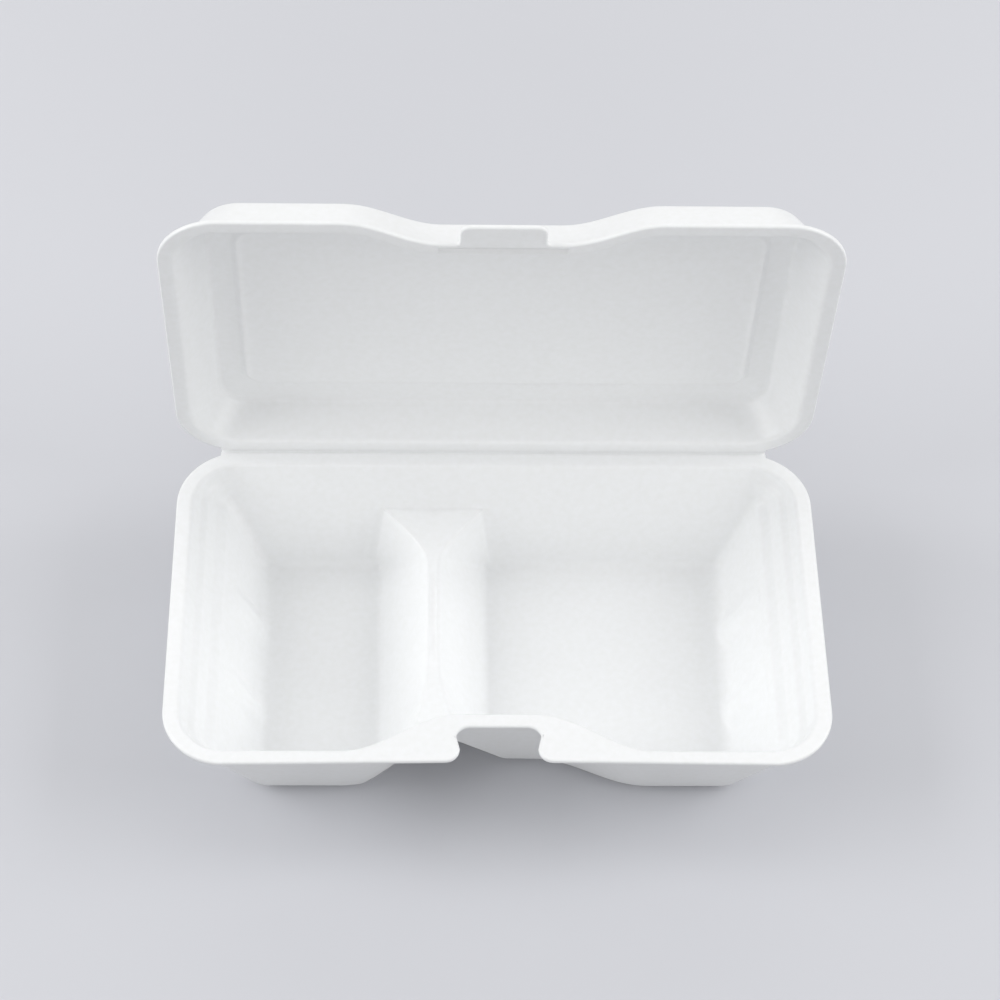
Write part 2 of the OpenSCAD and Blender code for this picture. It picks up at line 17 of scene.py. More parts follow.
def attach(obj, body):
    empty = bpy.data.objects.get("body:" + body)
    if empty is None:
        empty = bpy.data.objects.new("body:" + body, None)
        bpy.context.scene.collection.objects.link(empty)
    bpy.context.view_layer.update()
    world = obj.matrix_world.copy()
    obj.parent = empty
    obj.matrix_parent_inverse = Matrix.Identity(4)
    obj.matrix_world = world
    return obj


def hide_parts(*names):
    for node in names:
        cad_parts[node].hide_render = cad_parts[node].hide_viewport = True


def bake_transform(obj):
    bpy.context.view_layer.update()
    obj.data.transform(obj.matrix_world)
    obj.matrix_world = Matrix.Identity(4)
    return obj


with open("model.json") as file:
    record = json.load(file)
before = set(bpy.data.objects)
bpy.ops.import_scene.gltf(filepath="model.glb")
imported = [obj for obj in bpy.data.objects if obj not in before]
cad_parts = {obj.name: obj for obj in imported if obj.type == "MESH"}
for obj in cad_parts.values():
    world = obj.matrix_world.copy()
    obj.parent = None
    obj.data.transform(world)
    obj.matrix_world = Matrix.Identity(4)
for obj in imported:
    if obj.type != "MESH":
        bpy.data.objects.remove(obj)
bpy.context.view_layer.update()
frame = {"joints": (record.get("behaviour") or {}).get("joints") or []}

# Sizes shared with the CAD part
FOLD = np.array(frame["joints"][0]["pos_m"]) * 1000
WALL = 2.0
HALF_GAP = 0.15
HALF_W = 120.0
DEPTH = 139.5
BACK_R = 24.5
FRONT_R = 22.5
RIM_SIDE, RIM_BACK, RIM_FRONT = 6.0, 6.3, 5.6
HALF_FOLD = 104.5
FRONT_BOW = 1.2
OPEN_ANGLE = 85.5
TRAY_H = FOLD[2] - HALF_GAP
LAND = 19.6
FLOOR = TRAY_H - WALL
REACH = 56.0
TRAY_FLAT, TRAY_RECESS, FLOOR_RECESS = 14.0, 15.5, 11.5
LID_FLAT, LID_RECESS = 21.0, 11.2
DIVIDER_X = -23.3
FOOT_HALF = 19.6

# Sizes of finer forms, which the solids draw plainer
RIDGE_HALF = 2.3
FRONT_SPREAD, BACK_SPREAD = 8.5, 19.6
POCKET_R = 3.5
FRONT_POCKET_R = 6.5
DIVIDER_R = 10.0
EDGE_R = 0.8


def step01(t):
    """0 below 0, 1 above 1, and 3t^2 - 2t^3 between."""
    t = np.clip(t, 0, 1)
    return t * t * (3 - 2 * t)


def shares(n):
    """The shares 1/n, 2/n and so on up to 1."""
    return np.linspace(0, 1, n + 1)[1:]


def recess(x, flat):
    """A raised cosine: 1 for |x| under flat, 0 beyond the recess's reach."""
    t = np.clip((np.abs(x) - flat) / (REACH - flat), 0, 1)
    return 0.5 + 0.5 * np.cos(np.pi * t)


def bezier(a, b, c, t):
    """Quadratic curve from a to c, leaving towards b."""
    return a * (1 - t) ** 2 + b * 2 * t * (1 - t) + c * t**2


def rounded(rows, before, after, arc_n, straight_n):
    """A polyline through rows of numbers with its inner corners rounded.
    Corner i is a quadratic curve that starts the share before[i] back along the line into it
    and ends the share after[i] along the line out of it; straight lines join the corners."""
    rows = np.asarray(rows, float)
    out = [rows[:1]]
    at = rows[0]
    for i in range(1, len(rows) - 1):
        start = rows[i] + (rows[i - 1] - rows[i]) * before[i - 1]
        end = rows[i] + (rows[i + 1] - rows[i]) * after[i - 1]
        out.append(at + (start - at) * shares(straight_n[i - 1])[:, None])
        out.append(bezier(start, rows[i], end, shares(arc_n[i - 1])[:, None]))
        at = end
    out.append(at + (rows[-1] - at) * shares(straight_n[-1])[:, None])
    return np.concatenate(out)


def thickened(profile, t):
    """A profile of (inset, depth) rows moved out through the sheet by t, mitred at its bends."""
    p = np.asarray(profile, float)
    d = np.diff(p, axis=0)
    n = np.stack([-d[:, 1], d[:, 0]], 1) / np.linalg.norm(d, axis=1)[:, None]
    a = np.vstack([n[:1], n])
    b = np.vstack([n, n[-1:]])
    return p + t * (a + b) / (1 + (a * b).sum(1))[:, None]


def skin_profiles(profiles, outer):
    """Profiles of the inner skin, or of the outer one, a sheet's thickness away."""
    return [thickened(p, WALL) if outer else np.asarray(p, float) for p in profiles]


# Columns of a ring, counter-clockwise from the front left corner. Those of the front run between
# these places, closest round the divider and the latch
LATCH_HALF = 27.0
BESIDE_RECESS = 60.0
FRONT_END = HALF_W - FRONT_R
LAND_FEET = DIVIDER_X + np.array([-FRONT_SPREAD, FRONT_SPREAD, -BACK_SPREAD, BACK_SPREAD])
FRONT_PLACES = [-FRONT_END, -BESIDE_RECESS, LAND_FEET[0], DIVIDER_X]
FRONT_PLACES += [LAND_FEET[1], LATCH_HALF, BESIDE_RECESS, FRONT_END]
FRONT_COUNTS = [10, 10, 14, 18, 64, 22, 10]
FRONT_X = np.concatenate(
    [
        np.linspace(a, b, n, endpoint=False)
        for a, b, n in zip(FRONT_PLACES, FRONT_PLACES[1:], FRONT_COUNTS)
    ]
    + [[FRONT_END]]
)
CORNER = np.linspace(0, 90, 25)[1:-1]
SIDE_T = np.linspace(0, 1, 73)
BACK_RIGHT, BACK_ARC, BACK_LEFT = 16, 20, 12
BACK_N = BACK_RIGHT + 2 * BACK_ARC + BACK_LEFT + 1
BACK_START = len(FRONT_X) + 2 * len(CORNER) + len(SIDE_T)
RING_N = BACK_START + BACK_N + 2 * len(CORNER) + len(SIDE_T)

# Numbers of the columns at the divider's feet and middle, in front and at the back
FRONT_FOOT_L, FRONT_FOOT_C, FRONT_FOOT_R = np.cumsum(FRONT_COUNTS)[1:4].tolist()
BACK_FOOT_R = BACK_START + BACK_RIGHT
BACK_FOOT_C = BACK_FOOT_R + BACK_ARC
BACK_FOOT_L = BACK_FOOT_C + BACK_ARC

# 1 on the side columns, 0 on the front and back columns, easing round the corners
ease = step01(CORNER / 90)
SIDEWAYS = np.concatenate(
    [
        np.zeros(len(FRONT_X)),
        ease,
        np.ones(len(SIDE_T)),
        1 - ease,
        np.zeros(BACK_N),
        ease,
        np.ones(len(SIDE_T)),
        1 - ease,
    ]
)

# Side wall ribs: places along the wall, half width at the foot, run of a flank, height
RIB_PLACES, RIB_HALF, RIB_FLANK, RIB_RISE = (52.5, 90.0), 8.5, 6.5, 2.0


def ribs(y):
    """How far the side walls' ribs stand out: two bumps with eased flanks."""
    bumps = [step01((RIB_HALF - np.abs(y + at)) / RIB_FLANK) for at in RIB_PLACES]
    return RIB_RISE * np.maximum(*bumps)


def arc(centre_x, centre_y, r, degrees):
    """Points of a circle at the given angles."""
    a = np.radians(degrees)
    return np.stack([centre_x + r * np.cos(a), centre_y + r * np.sin(a)], 1)


def closed(front, hw, yb, yf, rb, rf, back_x, rib):
    """One ring from its front line: arcs of radius rf and rb join front, sides and back."""
    xf, xb = hw - rf, hw - rb
    y = yf + rf + (yb - rb - yf - rf) * SIDE_T
    return np.concatenate(
        [
            front,
            arc(xf, yf + rf, rf, CORNER - 90),
            np.stack([hw - rib * ribs(y), y], 1),
            arc(xb, yb - rb, rb, CORNER),
            np.stack([back_x, np.full(len(back_x), yb)], 1),
            arc(-xb, yb - rb, rb, CORNER + 90),
            np.stack([rib * ribs(y[::-1]) - hw, y[::-1]], 1),
            arc(-xf, yf + rf, rf, CORNER + 180),
        ]
    )


def ring(size, flat, feet=LAND_FEET, rib=0.0):
    """One level of a skin. size: half width, back y, front y, back and front corner radius,
    recess depth. The columns beside and between the divider's feet are stretched to meet there."""
    hw, yb, yf, rb, rf, deep = size
    xf, xb = hw - rf, hw - rb
    x = FRONT_X.copy()
    left, right = slice(0, FRONT_FOOT_L + 1), slice(FRONT_FOOT_R, None)
    x[left] = -xf + (x[left] + FRONT_END) * (feet[0] + xf) / (LAND_FEET[0] + FRONT_END)
    x[right] = xf + (x[right] - FRONT_END) * (feet[1] - xf) / (LAND_FEET[1] - FRONT_END)
    halves = (slice(FRONT_FOOT_L, FRONT_FOOT_C), slice(FRONT_FOOT_C, FRONT_FOOT_R))
    for foot, inside in enumerate(halves):
        share = (FRONT_X[inside] - DIVIDER_X) / (LAND_FEET[foot] - DIVIDER_X)
        x[inside] = DIVIDER_X + share * (feet[foot] - DIVIDER_X)
    front = np.stack([x, yf + deep * recess(x, flat)], 1)
    middle = (feet[2] + feet[3]) / 2
    half = np.linspace(0, 1, BACK_ARC + 1)
    back_x = np.concatenate(
        [
            xb + (feet[3] - xb) * np.linspace(0, 1, BACK_RIGHT, endpoint=False),
            middle + (feet[3] - middle) * (1 - half) ** 2,
            middle + (feet[2] - middle) * half[1:] ** 2,
            feet[2] + (-xb - feet[2]) * shares(BACK_LEFT),
        ]
    )
    return closed(front, hw, yb, yf, rb, rf, back_x, rib)


def with_depth(plan, depth):
    """A plan ring as points, that far below the flange."""
    return np.concatenate([plan, np.full((len(plan), 1), -1.0) * np.reshape(depth, (-1, 1))], 1)


def level(row, flat, feet=LAND_FEET, rib=0.0):
    """A ring from a row: side inset and depth, back inset and depth, front inset, back and front
    corner radius, recess depth. The sides' depth eases round the corners into the ends'."""
    side, side_deep, back, end_deep, front, rb, rf, deep = row
    size = (HALF_W - side, -back, front - DEPTH, rb, rf, deep)
    return with_depth(ring(size, flat, feet, rib), end_deep + (side_deep - end_deep) * SIDEWAYS)


# What a row gains 3 mm further out on the flange
OUT_ON_FLANGE = 3.0 * np.array([-1, 0, -1, 0, -1, 1, 1, 0])


def along(points, keys, places, x):
    """Points of a polyline for columns at x: the column at places[i] gets the point keys[i],
    and those between share out the length between."""
    points = np.asarray(points, float)
    d = np.concatenate([[0], np.cumsum(np.linalg.norm(np.diff(points, axis=0), axis=1))])
    at = np.interp(x, places, d[keys])
    return np.stack([np.interp(at, d, points[:, k]) for k in (0, 1)], 1)


def flange_outline(latch, edge):
    """The flange's outer edge: the latch's own outline in the middle of the front, the given
    edge line beside it, round corners, and the straight fold that cuts the back corners."""
    inside = np.abs(FRONT_X) <= LATCH_HALF
    mirror = np.stack([np.sign(FRONT_X), np.ones(len(FRONT_X))], 1)
    latch = along(*latch, np.abs(FRONT_X)) * mirror
    front = np.where(inside[:, None], latch, np.stack([FRONT_X, edge], 1))
    fold_x = np.linspace(HALF_FOLD, -HALF_FOLD, BACK_N)
    out = closed(front, HALF_W, 0, -DEPTH, BACK_R, FRONT_R, fold_x, 0)
    xb = HALF_W - BACK_R
    fold_angle = math.degrees(math.acos((HALF_FOLD - xb) / BACK_R))
    bend = arc(xb, -BACK_R, BACK_R, fold_angle * shares(len(CORNER)))
    back_end = BACK_START + BACK_N
    out[BACK_START - len(CORNER) : BACK_START] = bend
    out[BACK_START:back_end, 1] = -HALF_GAP
    out[back_end : back_end + len(CORNER)] = bend[::-1] * [-1, 1]
    return out


def drawn_in(outline, distance):
    """A closed outline moved inwards along its own normals."""
    d = np.roll(outline, -1, 0) - np.roll(outline, 1, 0)
    n = np.stack([-d[:, 1], d[:, 0]], 1) / np.linalg.norm(d, axis=1)[:, None]
    return outline + n * distance


def edge_rings(outline, outer):
    """The rounded edge of the sheet: from the middle of its thickness round to one face."""
    turn = np.radians([30, 60, 90])
    inset, rise = EDGE_R * (1 - np.cos(turn)), WALL / 2 - EDGE_R + EDGE_R * np.sin(turn)
    depths = WALL / 2 + rise * (1 if outer else -1)
    return [with_depth(drawn_in(outline, i), d) for i, d in zip(inset, depths)]


def tray_edge(x):
    """The tray's front edge, drawn back a little in the middle."""
    return FRONT_BOW * np.cos(np.pi / 2 * x / HALF_W) ** 2 - DEPTH


def lid_edge(x):
    """The lid's front edge, with its recess in the middle."""
    return LID_RECESS * recess(x, LID_FLAT) - DEPTH


TURN = np.linspace(0, 90, 13)

# The notch in the tray's front edge, half of it from the middle out: its inner corner turns through
# NOTCH_SWEEP, and from there the side leans in to the lip. Each listed column gets a listed point
NOTCH_D, NOTCH_R, NOTCH_CENTRE, NOTCH_SWEEP = 14.4, 5, 10.32, 75
MOUTH_HALF, LIP_R = 13.9, 5.3
NOTCH_Y = tray_edge(0.0) + NOTCH_D
notch_half = np.concatenate(
    [
        [[0, NOTCH_Y]],
        arc(NOTCH_CENTRE, NOTCH_Y - NOTCH_R, NOTCH_R, 90 - TURN * NOTCH_SWEEP / 90),
        arc(MOUTH_HALF + LIP_R, tray_edge(0.0) + LIP_R, LIP_R, 180 + TURN),
        [[LATCH_HALF, tray_edge(LATCH_HALF)]],
    ]
)
NOTCH = (notch_half, [0, 1, 13, 14, 26, 27], [0, 10.3, 16.5, 19, 24, LATCH_HALF])

# The tab on the lid's front edge, half of it from the middle out, with round tips and a round foot
TAB_L, TAB_HALF, TAB_R, TAB_FOOT_R, TAB_BESIDE = 9.6, 15.2, 3.5, 1.6, 18
TIP_Y = lid_edge(0.0) - TAB_L
beside = np.linspace(TAB_BESIDE, LATCH_HALF, 10)
tab_half = np.concatenate(
    [
        [[0, TIP_Y]],
        arc(TAB_HALF - TAB_R, TIP_Y + TAB_R, TAB_R, TURN - 90),
        arc(TAB_HALF + TAB_FOOT_R, lid_edge(0.0) - TAB_FOOT_R, TAB_FOOT_R, 180 - TURN),
        np.stack([beside, lid_edge(beside)], 1),
    ]
)
TAB = (tab_half, [0, 1, 13, 14, 26, 36], [0, 8.5, 12.5, 14.6, 17.5, LATCH_HALF])

TRAY_OUTLINE = flange_outline(NOTCH, tray_edge(FRONT_X))
LID_OUTLINE = flange_outline(TAB, lid_edge(FRONT_X))


def linked(name, data):
    """A new object in the scene."""
    obj = bpy.data.objects.new(name, data)
    bpy.context.scene.collection.objects.link(obj)
    return obj


class Sheet:
    """Collects points and faces of one piece."""

    def __init__(self):
        self.points, self.faces, self.n = [], [], 0

    def add(self, points):
        """Adds points and returns their numbers, in the same arrangement."""
        points = np.asarray(points, float)
        ids = np.arange(self.n, self.n + points[..., 0].size).reshape(points.shape[:-1])
        self.points.append(points.reshape(-1, 3))
        self.n += ids.size
        return ids

    def quads(self, a, b, c, d, flip):
        """Adds faces from four arrays of corner numbers."""
        faces = np.stack([a, b, c, d], -1).reshape(-1, 4)
        self.faces += (faces[:, ::-1] if flip else faces).tolist()

    def stack(self, ids, flip):
        """Joins each ring of a stack to the next, inwards."""
        nxt = np.roll(ids, -1, 1)
        self.quads(ids[:-1], nxt[:-1], nxt[1:], ids[1:], flip)

    def cap(self, ids, tip, flip):
        """Joins a ring to one point."""
        faces = np.stack([ids, np.roll(ids, -1), np.full(len(ids), tip)], 1)
        self.faces += (faces[:, ::-1] if flip else faces).tolist()

    def strip(self, a, b, flip, rows=6, sag=0.0, ends=4):
        """Joins two open lines of the same length, with rows of new points between them that hang
        by sag in the middle, easing over some columns at the ends; lines that share an end close
        in triangles there. Returns the numbers of all its points."""
        known = np.concatenate(self.points)
        u = np.linspace(0, 1, rows + 1)[1:-1, None]
        k = np.arange(len(a))
        between = known[a] + (known[b] - known[a]) * u[..., None]
        eased = step01(k / ends) * step01((len(a) - 1 - k) / ends)
        between[..., 2] -= sag * 4 * u * (1 - u) * eased
        ids = np.vstack([a[None], self.add(between), b[None]])
        ids[:, a == b] = a[a == b]
        faces = np.stack([ids[:-1, :-1], ids[1:, :-1], ids[1:, 1:], ids[:-1, 1:]], -1)
        faces = faces.reshape(-1, 4)
        for f in (faces[:, ::-1] if flip else faces).tolist():
            f = list(dict.fromkeys(f))
            if len(f) > 2:
                self.faces.append(f)
        return ids

    def piece(self, name):
        """The finished object, smooth shaded, in metres in the part's frame."""
        points = (np.concatenate(self.points) + [0, FOLD[1], TRAY_H]) / 1000
        mesh = bpy.data.meshes.new(name)
        mesh.from_pydata(points.tolist(), [], self.faces)
        mesh.polygons.foreach_set("use_smooth", np.ones(len(mesh.polygons), bool))
        mesh.update()
        return linked(name, mesh)


# Tray profiles as (inset, depth): rim, top and foot of the side walls' two steps, land, floor
STEP = [(RIM_SIDE, 0), (8.6, 5.3), (11.3, 7.3), (14.3, 13.2), (17.9, 16.1), (19.69, LAND)]
STEP += [(31.0, FLOOR), (31.86, TRAY_H)]
BACK = [(RIM_BACK, 0), (10.4, 13), (11.34, 16), (12.48, LAND), (20.8, FLOOR), (21.43, TRAY_H)]
FRONT = [(RIM_FRONT, 0), (9.7, 13), (10.64, 16), (11.78, LAND), (20.1, FLOOR), (20.73, TRAY_H)]
FACE = [(RIDGE_HALF, LAND), (FOOT_HALF, FLOOR), (FOOT_HALF * 1.07, TRAY_H)]

# Depth at which the corners have tightened to the pockets' radius, and depth and run over which
# the side walls' ribs rise
TIGHT_AT, RIBS_FROM, RIBS_RUN = 16, 16, 18
# Length over which the ridge flares out to the back and front wall, and where its curve bends
BACK_FLARE, FRONT_FLARE, BACK_BEND, FRONT_BEND = 26, 30, 0.68, 0.73
RIDGE_N = 20
# The rounded edge of the land: how far down the face and in on the land it reaches
LAND_DROP, LAND_SOFT, LAND_SOFT_SHARE, LAND_ENDS = 1.3, 1.1, 0.35, 9
LAND_SAG = 0.6
# Fillets at the floor: under the walls, along the divider, what the outside adds there, and how far
# out on the floor they run for their height
WALL_FILLET, DIVIDER_FILLET, OUTSIDE_FILLET, FILLET_RUN, FILLET_ENDS = 4.0, 2.2, 3.0, 1.1, 8


def at_depth(profile, d):
    """The inset of a profile at a depth, straight on beyond its ends."""
    p = np.asarray(profile, float)
    slope = (p[1, 0] - p[0, 0]) / (p[1, 1] - p[0, 1])
    return np.where(d < p[0, 1], p[0, 0] + slope * (d - p[0, 1]), np.interp(d, p[:, 1], p[:, 0]))


def tray_skin(sheet, outer, outline_ids):
    """One skin of the tray. Rings run from the flange to the land's height; there the ring splits
    into two pocket loops, each made of its own wall columns and the divider's face."""
    out = WALL if outer else 0.0
    *profiles, face = skin_profiles((STEP, BACK, FRONT, FACE), outer)
    land, floor = LAND + out, FLOOR + out

    def row(d, slack=0.0, depth=None):
        """Insets of side, back and front at a depth, corner radii and recess depth."""
        side, back, front = (float(at_depth(p, d)) + slack for p in profiles)
        deep = d if depth is None else depth
        wide = np.interp(d, [0, TIGHT_AT], [1, 0])
        rb = POCKET_R + wide * (BACK_R - RIM_BACK - POCKET_R) + out
        rf = FRONT_POCKET_R + wide * (FRONT_R - RIM_FRONT - FRONT_POCKET_R) + out
        drawn = np.interp(d, [0, TRAY_H], [TRAY_RECESS, FLOOR_RECESS])
        return [side, deep, back, deep, front, rb, rf, drawn]

    # Flange, rim and walls down to just above the land
    start = row(out)
    rows = [start + OUT_ON_FLANGE, start] + [row(d) for d in profiles[0][1:5, 1]] + [row(land)]
    rim_before, rim_after = (0.25, 0.15) if outer else (0.45, 0.28)
    basin = rounded(
        rows,
        [rim_before, 0.12, 0.25, 0.12, 0.25],
        [rim_after, 0.2, 0.15, 0.2, 0.25],
        [7, 4, 4, 4, 4],
        [1, 3, 2, 3, 2, 3],
    )
    edges = edge_rings(TRAY_OUTLINE, outer)
    rim = level(basin[0], TRAY_FLAT)
    flange = [edges[-1] + (rim - edges[-1]) * k for k in shares(8)[:-1]]
    inward = np.array([1, -1, 1, -1])
    land_feet = LAND_FEET + out * inward
    rings = np.array(edges + flange + [level(r, TRAY_FLAT, land_feet) for r in basin])
    ids = np.vstack([outline_ids[None], sheet.add(rings)])
    sheet.stack(ids, outer)
    last_ids = ids[-1]

    # Pocket loops, right and left of the divider
    ridges = {}
    for side in (1, -1):
        if side > 0:
            front_i, back_i = FRONT_FOOT_R, BACK_FOOT_R
            wall = np.arange(front_i, back_i + 1)
            front_x = FRONT_X[FRONT_FOOT_C + 1 : front_i]
        else:
            front_i, back_i = FRONT_FOOT_L, BACK_FOOT_L
            wall = np.concatenate([np.arange(back_i, RING_N), np.arange(0, front_i + 1)])
            front_x = FRONT_X[front_i + 1 : FRONT_FOOT_C][::-1]
        ridge_x, foot_x = DIVIDER_X + side * RIDGE_HALF, FRONT_X[front_i]
        t_back, t_ridge = shares(BACK_ARC)[:, None], shares(RIDGE_N)[:, None]
        # Columns in front follow the land's, but none closer than an even share of the first 0.3
        n = len(front_x)
        t_front = np.sqrt(np.clip((front_x - ridge_x) / (foot_x - ridge_x), 0, 1))
        t_front = np.maximum(t_front, 0.3 * np.arange(1, n + 1) / (n + 1))[:, None]

        def loop(d, slack=0.0, depth=None, rib=1.0):
            """Wall columns at a depth, then the divider's face from back to front."""
            s = np.clip((d - land) / (FLOOR - LAND), 0, 1)
            x = DIVIDER_X + side * (float(at_depth(face, d)) + slack)
            r = np.array([DIVIDER_R, DIVIDER_R, POCKET_R, POCKET_R]) + out
            floor_feet = DIVIDER_X - inward * (float(at_depth(face, floor)) + r)
            feet = land_feet + (floor_feet - land_feet) * s - inward * slack
            here = row(d, slack, depth)
            _, deep, back, _, front, _, _, drawn = here
            rib = rib * float(step01((deep - RIBS_FROM) / RIBS_RUN))
            whole = level(here, TRAY_FLAT, feet, rib)
            corner_b = np.array([x, -back, -deep])
            corner_f = np.array([x, front - DEPTH + drawn * recess(x, TRAY_FLAT), -deep])
            reach_b = BACK_FLARE + (r[2] - BACK_FLARE) * s
            reach_f = FRONT_FLARE + (r[0] - FRONT_FLARE) * s
            ridge_b, ridge_f = corner_b - [0, reach_b, 0], corner_f + [0, reach_f, 0]
            bend_b = corner_b - [0, BACK_BEND * reach_b * (1 - s**4), 0]
            bend_f = corner_f + [0, FRONT_BEND * reach_f * (1 - s**4), 0]
            line = np.concatenate(
                [
                    bezier(whole[back_i], bend_b, ridge_b, t_back),
                    ridge_b + (ridge_f - ridge_b) * t_ridge,
                    bezier(ridge_f, bend_f, whole[front_i], t_front),
                ]
            )
            return whole[wall], line if side > 0 else line[::-1]

        # The land's edge is rounded: it starts a little way in on the land and ends on the face
        edge_wall, edge = loop(land)
        low_wall, low = loop(land + LAND_DROP)
        d = np.gradient(edge[:, :2], axis=0)
        normal = np.stack([d[:, 1], -d[:, 0]], 1) / np.linalg.norm(d, axis=1)[:, None]
        room = np.abs(edge[:, 0] - DIVIDER_X)
        k = np.arange(len(edge))
        eased = step01((k + 1) / LAND_ENDS) * step01((len(edge) - k) / LAND_ENDS)
        soft = np.minimum(LAND_SOFT_SHARE * room, LAND_SOFT) * eased
        inner = edge.copy()
        inner[:, :2] += normal * soft[:, None]
        loops = []
        for u in np.linspace(0, 1, 8):
            w = edge_wall + (low_wall - edge_wall) * u
            loops.append(np.concatenate([w, bezier(inner, edge, low, u)]))

        def foot(r):
            """The wall down to r above the floor, then a fillet: a quadratic curve that ends about
            r out on the floor."""
            r = r + out
            depths = np.linspace(land + LAND_DROP, floor - r, 15)[1:]
            down = [np.concatenate(loop(d)) for d in depths]
            b = np.concatenate(loop(floor, rib=0.6))
            c = np.concatenate(loop(floor, r * FILLET_RUN, floor, rib=0.0))
            return np.array(down + [bezier(down[-1], b, c, u) for u in shares(12)])

        # The fillet under the walls eases into the one along the divider
        k = np.arange(len(wall) + len(edge)) - len(wall)
        thin = step01(k / FILLET_ENDS) * step01((len(edge) - 1 - k) / FILLET_ENDS)
        thin = thin[:, None]
        slim = DIVIDER_FILLET + (OUTSIDE_FILLET if outer else 0.0)
        loops += list(foot(WALL_FILLET) * (1 - thin) + foot(slim) * thin)
        middle = loops[-1].mean(0)
        loops += [middle + (loops[-1] - middle) * (1 - u) for u in np.linspace(0, 0.92, 12)[1:]]

        loops = np.array(loops)
        edge_ids = sheet.add(loops[0, len(wall) :])
        first = np.concatenate([last_ids[wall], edge_ids])
        rest = sheet.add(loops[1:])
        sheet.stack(np.vstack([first[None], rest]), outer)
        sheet.cap(rest[-1], sheet.add(middle[None])[0], outer)
        ridge = edge_ids if side > 0 else edge_ids[::-1]
        ridges[side] = np.concatenate([[last_ids[back_i]], ridge, [last_ids[front_i]]])

    # The land: strips from the ridge lines to the back wall, to each other and to the front wall
    right, left = ridges[1], ridges[-1]
    aft, fore = BACK_ARC, BACK_ARC + RIDGE_N
    back_r = sheet.strip(right[: aft + 1], last_ids[BACK_FOOT_R : BACK_FOOT_C + 1], outer)
    back_l = sheet.strip(last_ids[BACK_FOOT_C : BACK_FOOT_L + 1][::-1], left[: aft + 1], outer)
    sheet.strip(right[aft : fore + 1], left[aft : fore + 1], outer, sag=LAND_SAG)
    front_l = sheet.strip(last_ids[FRONT_FOOT_L : FRONT_FOOT_C + 1][::-1], left[fore:], outer)
    front_r = sheet.strip(right[fore:], last_ids[FRONT_FOOT_C : FRONT_FOOT_R + 1], outer)
    sheet.strip(back_r[::-1, -1], back_l[:, -1], outer)
    sheet.strip(front_r[:, 0], front_l[::-1, 0], outer)


def build_tray():
    """The tray: an inner and an outer skin that share the middle line of the flange's edge."""
    sheet = Sheet()
    ids = sheet.add(with_depth(TRAY_OUTLINE, WALL / 2))
    tray_skin(sheet, False, ids)
    tray_skin(sheet, True, ids)
    return sheet.piece("tray_shell")


# Lid profiles: rim, border of the top, edge and foot of the panel's step, a low bead along the
# sides, and on into the panel
LID_H, PANEL_H, BEAD = 16.0, 14.4, 0.6
LID_STEP = [(RIM_SIDE, 0), (15.8, LID_H), (24.8, 15.1)]
LID_STEP += [(26.4, PANEL_H - BEAD), (28.2, PANEL_H), (40, PANEL_H)]
LID_BACK = [(RIM_BACK, 0), (10.7, LID_H), (24.5, LID_H)]
LID_BACK += [(25.0, PANEL_H), (26.8, PANEL_H), (39, PANEL_H)]
LID_FRONT = [(RIM_FRONT, 0), (12.0, LID_H), (21.0, LID_H)]
LID_FRONT += [(23.0, PANEL_H), (24.4, PANEL_H), (36, PANEL_H)]
# Back and front corner radius at each of these rows
LID_RADII = [[18.2, 16.9], [12, 12], [8, 8], [6.5, 6.5], [6, 6], [5, 5]]

# Two narrow grooves across the foot of the tab: half length and ease at the ends, distance of the
# pair from the edge, half the distance between them, half width, flank and depth of one
GROOVE_HALF, GROOVE_END, GROOVE_IN, GROOVE_APART = 23.2, 0.8, 2.9, 0.85
GROOVE_W, GROOVE_FLANK, GROOVE_DEEP = 0.8, 0.5, 0.9
ON_FLANGE = 0.3


def opened(points):
    """Turns lid points from their closed place over the tray to the angle shown."""
    a = math.radians(OPEN_ANGLE)
    x, y, up = points[..., 0], points[..., 1], HALF_GAP - points[..., 2]
    return np.stack(
        [x, y * math.cos(a) + up * math.sin(a), HALF_GAP - y * math.sin(a) + up * math.cos(a)], -1
    )


